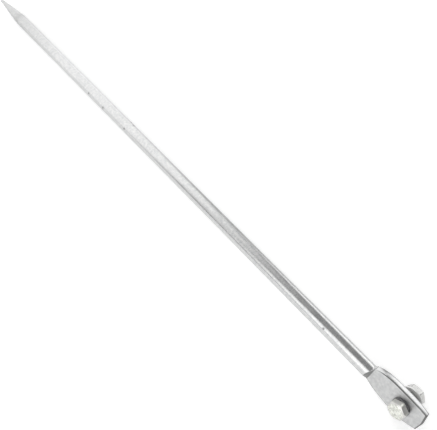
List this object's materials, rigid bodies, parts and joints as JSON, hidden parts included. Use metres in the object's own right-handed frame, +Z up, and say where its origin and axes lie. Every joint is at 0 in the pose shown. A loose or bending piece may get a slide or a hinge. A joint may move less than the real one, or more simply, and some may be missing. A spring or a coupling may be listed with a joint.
{
  "type": "ground spike with clamp bolt",
  "caption": "Pointed round steel bar with a forged flat blade at its head; a bolt through the blade carries a lock nut, a washer and a clamp nut for a wire or bracket.",
  "frame": {"origin": "the middle of the object's outline on the ground that it lies on", "axes": "+X along the bar from the point to the blade, +Y to the nut side of the blade, +Z up from the ground; the bar rises 0.55 degrees towards the blade and the blade leans 14.92 degrees back onto the flat washer"},
  "size_m": [0.8, 0.0388, 0.0317],
  "materials": {
    "galvanised_bar": "bright galvanised steel, smooth with faint mottling",
    "zinc_bolt": "bright zinc-plated steel",
    "spring_steel": "dark zinc-plated spring steel",
    "zinc_nut": "zinc-plated steel",
    "zinc_washer": "zinc-plated steel"
  },
  "bodies": {
    "spike": {"spike": "galvanised_bar"},
    "bolt_set": {"hex_bolt": "zinc_bolt", "spring_washer": "spring_steel", "inner_nut": "zinc_nut"},
    "clamp_washer": {"flat_washer": "zinc_washer"},
    "clamp_nut": {"outer_nut": "zinc_nut"}
  },
  "joints": [
    {"name": "bolt_turn", "type": "hinge", "parent": "spike", "child": "bolt_set", "pos_m": [0.37748, -0.00522, 0.01487], "axis": [0.0025, 0.9663, -0.2574], "continuous": true},
    {"name": "washer_slide", "type": "slide", "parent": "bolt_set", "child": "clamp_washer", "axis": [0.0025, 0.9663, -0.2574], "range_m": [0, 0.009]},
    {"name": "nut_turn", "type": "hinge", "parent": "clamp_washer", "child": "clamp_nut", "pos_m": [0.37753, 0.01137, 0.01046], "axis": [0.0025, 0.9663, -0.2574], "range_deg": [0, 2160]}
  ],
  "couplings": [
    {"joint": "washer_slide", "follows": "nut_turn", "m_per_rad": 0.00023873}
  ]
}
